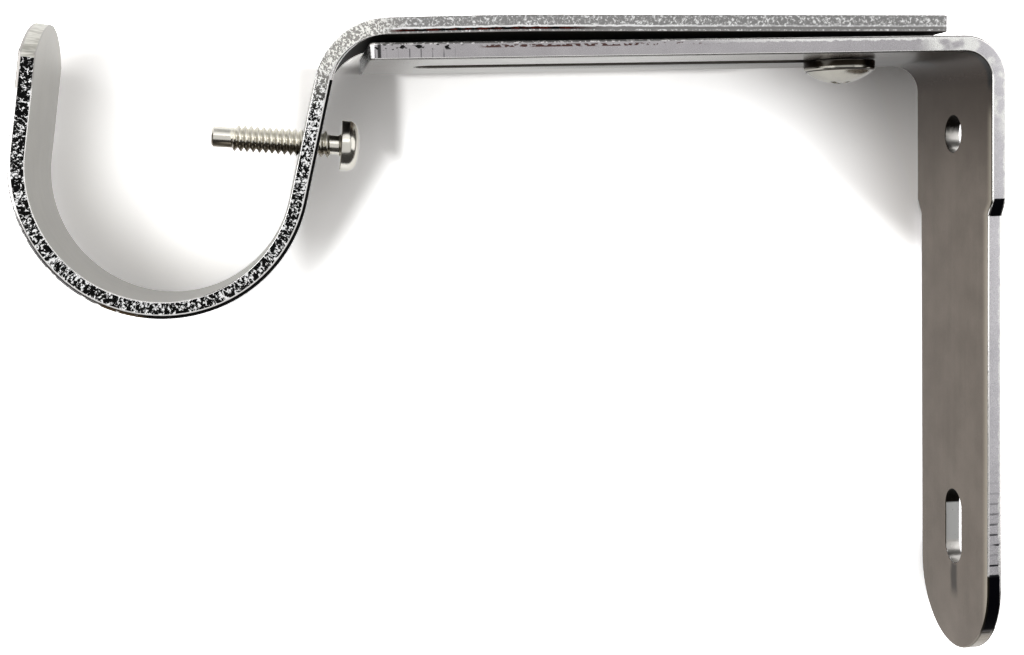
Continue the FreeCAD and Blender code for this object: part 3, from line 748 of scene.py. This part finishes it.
def round_edges(piece, outer_round, inner_round, hole_round, is_outer, share=None):
    """Round the sharp edges: the outer and inner sides differ, and holes stay crisp. Share is a
    function of a place that gives how much of the outer rounding there is."""
    mesh = piece.data
    widest = max(outer_round, inner_round, hole_round)
    rounds = {OUTER: outer_round, INNER: inner_round}
    faces_at = {key: [] for key in mesh.edge_keys}
    for polygon in mesh.polygons:
        for key in polygon.edge_keys:
            faces_at[key].append(polygon)
    weights = mesh.attributes.new("bevel_weight_edge", "FLOAT", "EDGE")
    sharp = math.cos(math.radians(40))
    for number, edge in enumerate(mesh.edges):
        pair = faces_at[edge.key]
        if len(pair) != 2 or pair[0].normal.dot(pair[1].normal) > sharp:
            continue
        kinds = {polygon.material_index for polygon in pair}
        if kinds & {BORE, SHADED_BORE}:
            weights.data[number].value = hole_round / widest
        elif kinds & {OUTER, INNER}:
            weight = rounds[min(kinds)] / widest
            if share and OUTER in kinds:
                ends = [mesh.vertices[corner].co for corner in edge.vertices]
                weight *= share((ends[0] + ends[1]) / 2)
            weights.data[number].value = weight
    use(piece, "BEVEL", width=widest, segments=5, limit_method="WEIGHT", use_clamp_overlap=False,
        material=RIM)
    for polygon in mesh.polygons:
        if polygon.material_index == RIM and is_outer(polygon):
            polygon.material_index = OUTER_RIM


def finish_shading(piece, angle=35):
    """Smooth shading, but for edges that are sharper than an angle in degrees."""
    choose(piece)
    bpy.ops.object.shade_smooth_by_angle(angle=math.radians(angle))
    use(piece, "WEIGHTED_NORMAL", keep_sharp=True, weight=90)


def make_wall_bracket():
    fold_centre = Vector((-STRIP - FOLD_RADIUS, 0, ARM_RISE - FOLD_RADIUS))
    foot = Vector((-STRIP / 2, 0, -LEG_DROP))
    piece = section("wall_bracket_strip", foot, (STRIP, 2 * BRACKET_HALF, 1), 0)
    push((0, 0, fold_centre.z + LEG_DROP))
    sweep(math.radians(90), fold_centre, 14)
    push((-ARM_REACH - fold_centre.x, 0, 0))
    settle()

    begin(piece)
    pick_edges(piece, lambda a, b: max(a.x, b.x) < NEAR - ARM_REACH and abs(a.y - b.y) < CLEAR)
    bpy.ops.mesh.bevel(offset=PLAN_CORNER, segments=6, affect="EDGES")
    end()

    def is_outer(polygon):
        return polygon.normal.x + polygon.normal.z > 0 and polygon.center.x > NEAR - ARM_REACH

    finishes = (bracket_inside, bracket_outside, bracket_edge, bracket_rim, bracket_outer_rim,
                wall_hole, shaded_bore, tip_end)
    clothe(piece, finishes, is_outer)
    for polygon in piece.data.polygons:
        if polygon.center.x < PLAN_CORNER - ARM_REACH and abs(polygon.normal.z) < 0.5:
            polygon.material_index = EDGE

    carve(piece, make_blank(), "INTERSECT")
    hole = drill((-STRIP / 2, 0, 0), (1, 0, 0), WALL_HOLE_RADIUS, 2 * STRIP, wall_hole)
    carve(piece, hole)

    run = WALL_SLOT_LENGTH / 2 - WALL_HOLE_RADIUS
    low = Vector((-STRIP / 2, 0, -WALL_SLOT_DROP - run))
    wall_slot = drill(low, (1, 0, 0), WALL_HOLE_RADIUS, 2 * STRIP, wall_hole)
    lengthen(wall_slot, (0, 0, 1), low, 2 * run)
    carve(piece, wall_slot)

    far = Vector((ARM_SLOT_FAR + ARM_SLOT_RADIUS, 0, ARM_RISE + STRIP / 2))
    arm_slot = drill(far, (0, 0, 1), ARM_SLOT_RADIUS, 2 * STRIP, shaded_bore)
    lengthen(arm_slot, (1, 0, 0), far, ARM_SLOT_NEAR - ARM_SLOT_FAR - 2 * ARM_SLOT_RADIUS)
    carve(piece, arm_slot)

    def leg_share(place):
        """The outer rounding is slighter along the arm than down the leg."""
        return max(0.5, min(1.0, 1.0 + 0.5 * (place.x + 2 * MM) / (6 * MM)))

    round_edges(piece, 0.42 * MM, 0.20 * MM, 0.1 * MM, is_outer, leg_share)
    finish_shading(piece)
    return piece


def make_blank():
    """The leg's outline with its shoulders and half-round foot, thick enough to hold the arm."""
    high = ARM_TOP + CLEAR
    wide = BRACKET_HALF + CLEAR
    piece = block((-ARM_REACH - CLEAR, -wide, SHOULDER_TOP), (CLEAR, wide, high), bracket_edge)
    middle = Vector((0, 0, SHOULDER_TOP))
    begin(piece)
    pick_faces(piece, lambda face: face.normal.z < -0.9)
    push((0, 0, 0))
    stretch((1, BRACKET_HALF / wide, 1), middle)
    push((0, 0, SHOULDER_FOOT - SHOULDER_TOP))
    stretch((1, LEG_HALF / BRACKET_HALF, 1), middle)
    push((0, 0, -LEG_DROP - SHOULDER_FOOT))

    def at_foot(a, b):
        return max(a.z, b.z) < NEAR - LEG_DROP and abs(a.y - b.y) < NEAR

    pick_edges(piece, at_foot)
    bpy.ops.mesh.bevel(offset=LEG_HALF - NEAR, segments=28, affect="EDGES")
    settle(merge=3 * NEAR)

    def under_shoulder(a, b):
        same_level = abs(a.z - SHOULDER_FOOT) < NEAR and abs(b.z - SHOULDER_FOOT) < NEAR
        return same_level and abs(a.y - b.y) < NEAR

    begin(piece)
    pick_edges(piece, under_shoulder)
    bpy.ops.mesh.bevel(offset=0.3 * SHOULDER_ROUND, segments=3, affect="EDGES")
    settle()
    return piece


def raised(along):
    """How far the arm has bent up off the bracket's arm, at a distance along it."""
    rise = min(1, max(0, (along - LIFT_START) / LIFT_RUN))
    return LIFT * rise * rise * (3 - 2 * rise)


def make_cup_arm():
    """The arm is drawn in its own axes, square end at the origin, and then tilted into place."""
    neck = Vector((-math.cos(NECK_LEAN), 0, math.sin(NECK_LEAN)))
    mouth = Vector((-math.cos(MOUTH_LEAN), 0, math.sin(MOUTH_LEAN)))
    neck_top = NECK_CENTRE + neck * (NECK_RADIUS + STRIP / 2)
    neck_foot = CUP_CENTRE - neck * (CUP_RADIUS + STRIP / 2)
    wall_up = Vector((math.sin(MOUTH_LEAN), 0, math.cos(MOUTH_LEAN)))

    start = Vector((0, 0, STRIP / 2))
    piece = section("cup_arm_strip", start, (1, 2 * CUP_HALF, STRIP), math.pi / 2)
    for share in (0.6, 0.08, 0.08, 0.08, 0.08, 0.08):
        push((NECK_CENTRE.x * share, 0, 0))
    sweep(math.pi / 2 - NECK_LEAN, NECK_CENTRE, 16)
    push(neck_foot - neck_top)
    sweep(NECK_LEAN - MOUTH_LEAN - math.pi, CUP_CENTRE, 56)
    push(wall_up * MOUTH_LENGTH)
    settle()
    for corner in piece.data.vertices:
        corner.co.z += raised(corner.co.x)

    begin(piece)
    pick_edges(piece, lambda a, b: min(a.x, b.x) > -NEAR and abs(a.y - b.y) < CLEAR)
    bpy.ops.mesh.bevel(offset=PLAN_CORNER, segments=6, affect="EDGES")
    end()

    finishes = (arm_inside, arm_outside, arm_edge, arm_rim, arm_outer_rim,
                wall_hole, shaded_bore, tip_end)
    clothe(piece, finishes, is_under_side)
    for polygon in piece.data.polygons:
        if polygon.center.x > -PLAN_CORNER and abs(polygon.normal.z) < 0.5:
            polygon.material_index = EDGE

    round_tip(piece, mouth, wall_up)

    in_neck = SCREW_CROSSING - SCREW_AXIS * STRIP / 2
    pole_hole = drill(in_neck, SCREW_AXIS, SCREW_HOLE_RADIUS, 4 * STRIP, shaded_bore)
    carve(piece, pole_hole)
    lock_hole = drill((LOCK_OFFSET, 0, STRIP / 2), (0, 0, 1), LOCK_HOLE_RADIUS, 2 * STRIP, shaded_bore)
    carve(piece, lock_hole)

    def neck_share(place):
        """The underside's rounding is slight along the arm and grows round the neck's bend. Towards
        the tip it shrinks again, to less than the tip's corners."""
        if place.x > CUP_CENTRE.x:
            return max(0.12, min(1.0, 1.0 - 0.88 * (place.z + 5 * MM) / (5 * MM)))
        return max(0.7, min(1.0, 1.0 - 0.3 * (place.z + 26 * MM) / (11 * MM)))

    round_edges(piece, 0.60 * MM, 0.12 * MM, 0.12 * MM, is_under_side, neck_share)
    piece.matrix_world = INTO_ARM
    place_in_mesh(piece)
    finish_shading(piece)
    return piece


def is_under_side(polygon):
    """The arm's underside is also the neck's and the cup's outer side."""
    place = polygon.center
    if place.x > NECK_CENTRE.x:
        return place.z - raised(place.x) < STRIP / 2
    if place.z > NECK_CENTRE.z and place.x > CUP_CENTRE.x:
        return (place - NECK_CENTRE).length < NECK_RADIUS + STRIP / 2
    return polygon.normal.dot(CUP_CENTRE - place) < 0


def round_tip(piece, mouth, wall_up):
    """Cut the free wall's end to a shallow arc, then ease the arc's two corners."""
    radius = (CUP_HALF ** 2 + TIP_RISE ** 2) / (2 * TIP_RISE)
    top = CUP_CENTRE + mouth * (CUP_RADIUS + STRIP / 2) + wall_up * MOUTH_LENGTH
    wide = CUP_HALF + CLEAR
    cutter = block((-2 * STRIP, -wide, -TIP_RISE), (2 * STRIP, wide, CLEAR), tip_end)
    carve(cutter, drill((0, 0, -radius), (1, 0, 0), radius, 6 * STRIP, tip_end, sides=160))
    cutter.matrix_world = Matrix.Translation(top) @ Matrix.Rotation(MOUTH_LEAN, 4, "Y")
    place_in_mesh(cutter)
    carve(piece, cutter)

    def at_corner(a, b):
        low = wall_up.dot(a - top) + TIP_RISE
        through = abs(abs(mouth.dot(a - b)) - STRIP) < 0.1 * STRIP
        return through and abs(low) < 0.05 * MM and a.x < CUP_CENTRE.x

    begin(piece)
    pick_edges(piece, at_corner)
    bpy.ops.mesh.bevel(offset=TIP_CORNER, segments=5, affect="EDGES")
    end()
    for polygon in piece.data.polygons:
        above = wall_up.dot(polygon.center - top) > -TIP_RISE - 2 * TIP_CORNER
        if above and abs(polygon.normal.dot(mouth)) < 0.5 and polygon.center.x < CUP_CENTRE.x:
            polygon.material_index = TIP


bracket_strip = make_wall_bracket()
cup_arm_strip = make_cup_arm()


# Screws: each is modelled upright, with the underside of its head on the plane Z = 0 and its shank up

def arc(centre, radius, start, stop, steps):
    """Rings along an arc, with angles in degrees from the outward direction towards the shank."""
    rings = []
    for number in range(steps + 1):
        angle = math.radians(start + (stop - start) * number / steps)
        rings.append((centre[0] + radius * math.cos(angle), centre[1] + radius * math.sin(angle)))
    return rings


def turned(name, rings, finish, sides=64):
    """A lathe shape. A filled circle is extruded and resized from ring to ring, in millimetres."""
    radius, height = rings[0]
    bpy.ops.mesh.primitive_circle_add(
        vertices=sides, radius=radius * MM, fill_type="NGON", location=(0, 0, height * MM))
    piece = bpy.context.active_object
    piece.name = name
    place_in_mesh(piece)
    begin(piece)
    bpy.ops.mesh.select_all(action="SELECT")
    for next_radius, next_height in rings[1:]:
        push((0, 0, (next_height - height) * MM))
        scale = next_radius / radius
        stretch((scale, scale, 1), (0, 0, next_height * MM))
        radius, height = next_radius, next_height
    settle()
    piece.data.materials.append(finish)
    return piece


def thread(core, crest, low, turns, finish):
    """A V-shaped ridge wound round a core, in millimetres, that runs out at both ends."""
    steps = 36
    middle = Vector(((core + crest) / 2 * MM, 0, low * MM))
    bpy.ops.mesh.primitive_plane_add(size=1, location=middle, rotation=(math.pi / 2, 0, 0))
    piece = bpy.context.active_object
    place_in_mesh(piece)
    begin(piece)
    bpy.ops.mesh.select_all(action="SELECT")
    stretch(((crest - core) * MM, 1, 0.94 * THREAD_PITCH * MM), middle)
    pick_edges(piece, lambda a, b: min(a.x, b.x) > middle.x)
    stretch((1, 1, 0.14), middle)
    bpy.ops.mesh.select_all(action="SELECT")
    bpy.ops.mesh.delete(type="ONLY_FACE")
    end()
    use(piece, "SCREW", axis="Z", angle=2 * math.pi, screw_offset=THREAD_PITCH * MM, iterations=turns,
        steps=steps, render_steps=steps)
    begin(piece)
    bpy.ops.mesh.select_mode(type="EDGE")
    bpy.ops.mesh.select_non_manifold()
    bpy.ops.mesh.fill_holes(sides=4)
    settle()
    run_out(piece, core, crest, steps)
    piece.data.materials.append(finish)
    return piece


def run_out(piece, core, crest, steps):
    """Sink both ends of a ridge into its core over a sixth of a turn."""
    corners = piece.data.vertices
    rings = len(corners) // 4
    sink = steps // 6
    for number in range(sink):
        scale = core / crest + (1 - core / crest) * number / sink
        for ring in (number, rings - 1 - number):
            for corner in corners[4 * ring:4 * ring + 4]:
                corner.co.x *= scale
                corner.co.y *= scale


def join(piece, extra):
    choose(piece)
    extra.select_set(True)
    bpy.ops.object.join()


def cut_cross(piece, top, span, turn, finish):
    """A tapered cross recess, in millimetres, in the head that ends at the height top."""
    blade, depth = 0.95, 1.5
    for quarter in range(2):
        low = Vector((-span / 2, -blade / 2, top - 1)) * MM
        high = Vector((span / 2, blade / 2, top + depth)) * MM
        cutter = block(low, high, finish)
        begin(cutter)
        pick_faces(cutter, lambda face: face.normal.z > 0.9)
        stretch((0.42, 0.6, 1), (0, 0, (top + depth) * MM))
        end()
        cutter.rotation_euler.z = turn + quarter * math.pi / 2
        place_in_mesh(cutter)
        carve(piece, cutter)


def place_screw(piece, under_head, turn):
    """Put an upright screw at a place in the arm's own axes, turned by turn about Y."""
    piece.matrix_world = INTO_ARM @ Matrix.Translation(under_head) @ Matrix.Rotation(turn, 4, "Y")
    place_in_mesh(piece)


def ease(piece, width):
    """A small bevel, in millimetres, along all sharp edges of a head."""
    use(piece, "BEVEL", width=width * MM, segments=2, limit_method="ANGLE", angle_limit=math.radians(40))


def make_pole_screw():
    """A plain point, a shank with its thread, and a pan head whose corner and crown are arcs."""
    crown = arc((0, 5.5), 8.0, -72.63, -89.9, 8)
    corner = arc((2.0, -0.894), 1.3, 0, -72.63, 8)
    rings = [(1.08, 16.4), (1.325, 16.15), (1.325, 13.95), (1.27, 13.6), (1.27, 0.35), (1.4, 0.1),
             (1.6, 0.0), (3.2, 0.0), (3.3, -0.08)] + corner + crown[1:]
    piece = turned("pole_screw_pan_head", rings, screw_metal)
    cut_cross(piece, -2.5, 3.6, math.radians(50), screw_metal)
    ease(piece, 0.07)
    join(piece, thread(1.24, 1.74, 1.2, 16, screw_metal))
    under_head = SCREW_CROSSING + SCREW_AXIS * SCREW_HEAD_GAP
    place_screw(piece, under_head, SCREW_LEAN - math.pi / 2)
    finish_shading(piece, 30)
    return piece


def make_lock_screw():
    """A short threaded shank under a wide head: a straight rim, a groove and a low dome."""
    dome = arc((0, 3.95), 6.93, -49.5, -89.9, 14)
    rings = [(1.3, 4.24), (1.62, 3.95), (1.62, 0.2), (1.9, 0.0), (4.68, 0.0), (4.75, -0.07),
             (4.75, -1.12), (4.66, -1.26)] + dome
    piece = turned("lock_screw_truss_head", rings, head_metal)
    cut_cross(piece, -2.98, 4.6, math.radians(38), head_metal)
    ease(piece, 0.08)
    join(piece, thread(1.6, 2.04, 0.7, 4, head_metal))
    place_screw(piece, LOCK_SEAT, 0)
    finish_shading(piece, 30)
    return piece


pole_screw = make_pole_screw()
lock_screw = make_lock_screw()

for piece, body, node, plating in (
    (bracket_strip, "bracket", "wall_bracket", "bracket_plate"),
    (cup_arm_strip, "arm", "cup_arm", "arm_plate"),
    (pole_screw, "gripping_screw", "pole_screw", "screw_plate"),
    (lock_screw, "locking_screw", "lock_screw", "screw_plate"),
):
    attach(piece, body)
    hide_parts(node)


# Paper, light and camera

def make_paper():
    """White paper that the bracket lies on. It is open to view from behind. The camera and the metal
    see it whiter than it is, so it is pure white, but for the soft shade in places near the bracket."""
    centre = MIDDLE + ACROSS * (BRACKET_HALF + 0.02 * MM)
    bpy.ops.mesh.primitive_plane_add(size=4, location=centre, rotation=(math.pi / 2, 0, 0))
    paper = bpy.context.active_object
    paper.name = "paper"
    place_in_mesh(paper)
    finish = Finish("white_paper")
    where, x, y, z = finish.place()
    seen = finish.node("ShaderNodeLightPath", output="Is Camera Ray")
    mirrored = finish.node("ShaderNodeLightPath", output="Is Glossy Ray")
    behind = finish.node("ShaderNodeNewGeometry", output="Backfacing")

    # Shade lies in the cup, beside the neck, in the bracket's corner, close under its arm and by its leg
    below = (z - CUP_PLACE.z).lower(0.0)
    out = x - CUP_PLACE.x
    from_axis = finish.math("SQRT", out * out + below * below)
    near_wall = finish.ramp(finish.distance(x, z, (-100.5, 0.4)), 6.5, 23.5, 0.0, 0.87)
    in_cup = near_wall * finish.ramp(from_axis, 17.6, 16.9) * finish.ramp(z, 19.0, 13.0)
    slanted = x - (z + 0.5 * MM).lower(0.0) * 0.62
    by_neck = finish.ramp(slanted, -75.5, -81.0, 0.0, 0.84) * finish.ramp(z, -23.0, -10.0)
    behind_neck = finish.ramp(x, -75.9, -78.3, 0.0, 0.84) * finish.ramp(z, -3.5, 0.5)
    by_neck = by_neck.either(behind_neck) * finish.ramp(x, -95.0, -90.0)
    in_corner = finish.ramp(x + z * 0.35, -31.0, -4.0)
    in_corner = in_corner * finish.ramp(x * 0.62 + z * 0.78, -18.5, -11.5)
    by_arm = finish.ramp(z, 9.3, 10.3, 0.0, 0.66) * finish.ramp(x, -83.0, -79.0)
    by_arm = by_arm * finish.ramp(x, -20.0, -35.0)
    by_leg = finish.ramp(x, -5.0, -2.0, 0.0, 0.6)
    inside = finish.step(x, 0.0, -1.0 * MM) * finish.ramp(z, 12.0, 11.0)
    shaded = in_cup.either(by_neck.either(in_corner).either(by_arm).either(by_leg) * inside)
    white = finish.blend(shaded, grey(3.2), (1.0, 0.98, 0.96, 1.0))

    plain = finish.blend(mirrored, grey(0.86), grey(1.1))
    diffuse = finish.node("ShaderNodeBsdfDiffuse", inputs={"Color": finish.blend(seen, plain, white)})
    glow = finish.node("ShaderNodeEmission", inputs={"Color": grey(1.0), "Strength": mirrored * 0.3})
    lit = finish.node("ShaderNodeAddShader", inputs={0: diffuse, 1: glow})
    clear = finish.node("ShaderNodeBsdfTransparent")
    surface = finish.node("ShaderNodeMixShader", inputs={0: behind, 1: lit, 2: clear})
    finish.node("ShaderNodeOutputMaterial", inputs={"Surface": surface})
    paper.data.materials.append(finish.data)


def soft_box(name, turn, rise, size, radiance):
    """A square lamp that faces the bracket from a distance. Its turn goes from the right towards the
    top, its rise is its height over the paper. A radiance of 1 is seen as white."""
    distance = 0.65
    light = bpy.data.lights.new(name, "AREA")
    light.size = size
    light.energy = radiance * math.pi * size * size
    holder = bpy.data.objects.new(name, light)
    bpy.context.scene.collection.objects.link(holder)
    turn, rise = math.radians(turn), math.radians(rise)
    flat = math.cos(rise)
    away = Vector((flat * math.cos(turn), -math.sin(rise), flat * math.sin(turn)))
    holder.location = MIDDLE + distance * away
    holder.rotation_euler = (-away).to_track_quat("-Z", "Y").to_euler()


def light_world():
    """A white background for the camera, and a dark room for everything else."""
    world = bpy.data.worlds.new("studio")
    bpy.context.scene.world = world
    room = Finish("studio", world)
    seen = room.node("ShaderNodeLightPath", output="Is Camera Ray")
    colour = room.blend(seen, grey(0.05, 0.04), grey(1.0))
    surface = room.node("ShaderNodeBackground", inputs={"Color": colour})
    room.node("ShaderNodeOutputWorld", inputs={"Surface": surface})


def make_camera():
    """The photograph's viewpoint, from vanishing points and the strips' known widths."""
    yaw, pitch, roll = 0.1492, 0.0917, -0.0277
    ahead = Vector((math.sin(yaw) * math.cos(pitch), math.cos(yaw) * math.cos(pitch), -math.sin(pitch)))
    level = Vector((math.cos(yaw), -math.sin(yaw), 0))
    upright = level.cross(ahead)
    right = level * math.cos(roll) + upright * math.sin(roll)
    up = upright * math.cos(roll) - level * math.sin(roll)
    camera = bpy.data.cameras.new("camera")
    camera.sensor_width = 36
    camera.lens = 53.25
    camera.clip_start = 0.001
    holder = bpy.data.objects.new("camera", camera)
    bpy.context.scene.collection.objects.link(holder)
    turn = Matrix((right, up, -ahead)).transposed().to_4x4()
    place = Vector((-94.10 * MM, -198.59 * MM, -5.78 * MM))
    holder.matrix_world = Matrix.Translation(place) @ turn
    bpy.context.scene.camera = holder


make_paper()
light_world()
soft_box("left_box", 158, 30, 0.62, 2.7)
soft_box("right_box", 12, 32, 0.62, 1.3)
soft_box("top_box", 90, 55, 0.40, 1.2)
soft_box("overhead_card", 180, 88, 0.75, 0.75)
make_camera()
bpy.context.scene.view_settings.view_transform = "Standard"
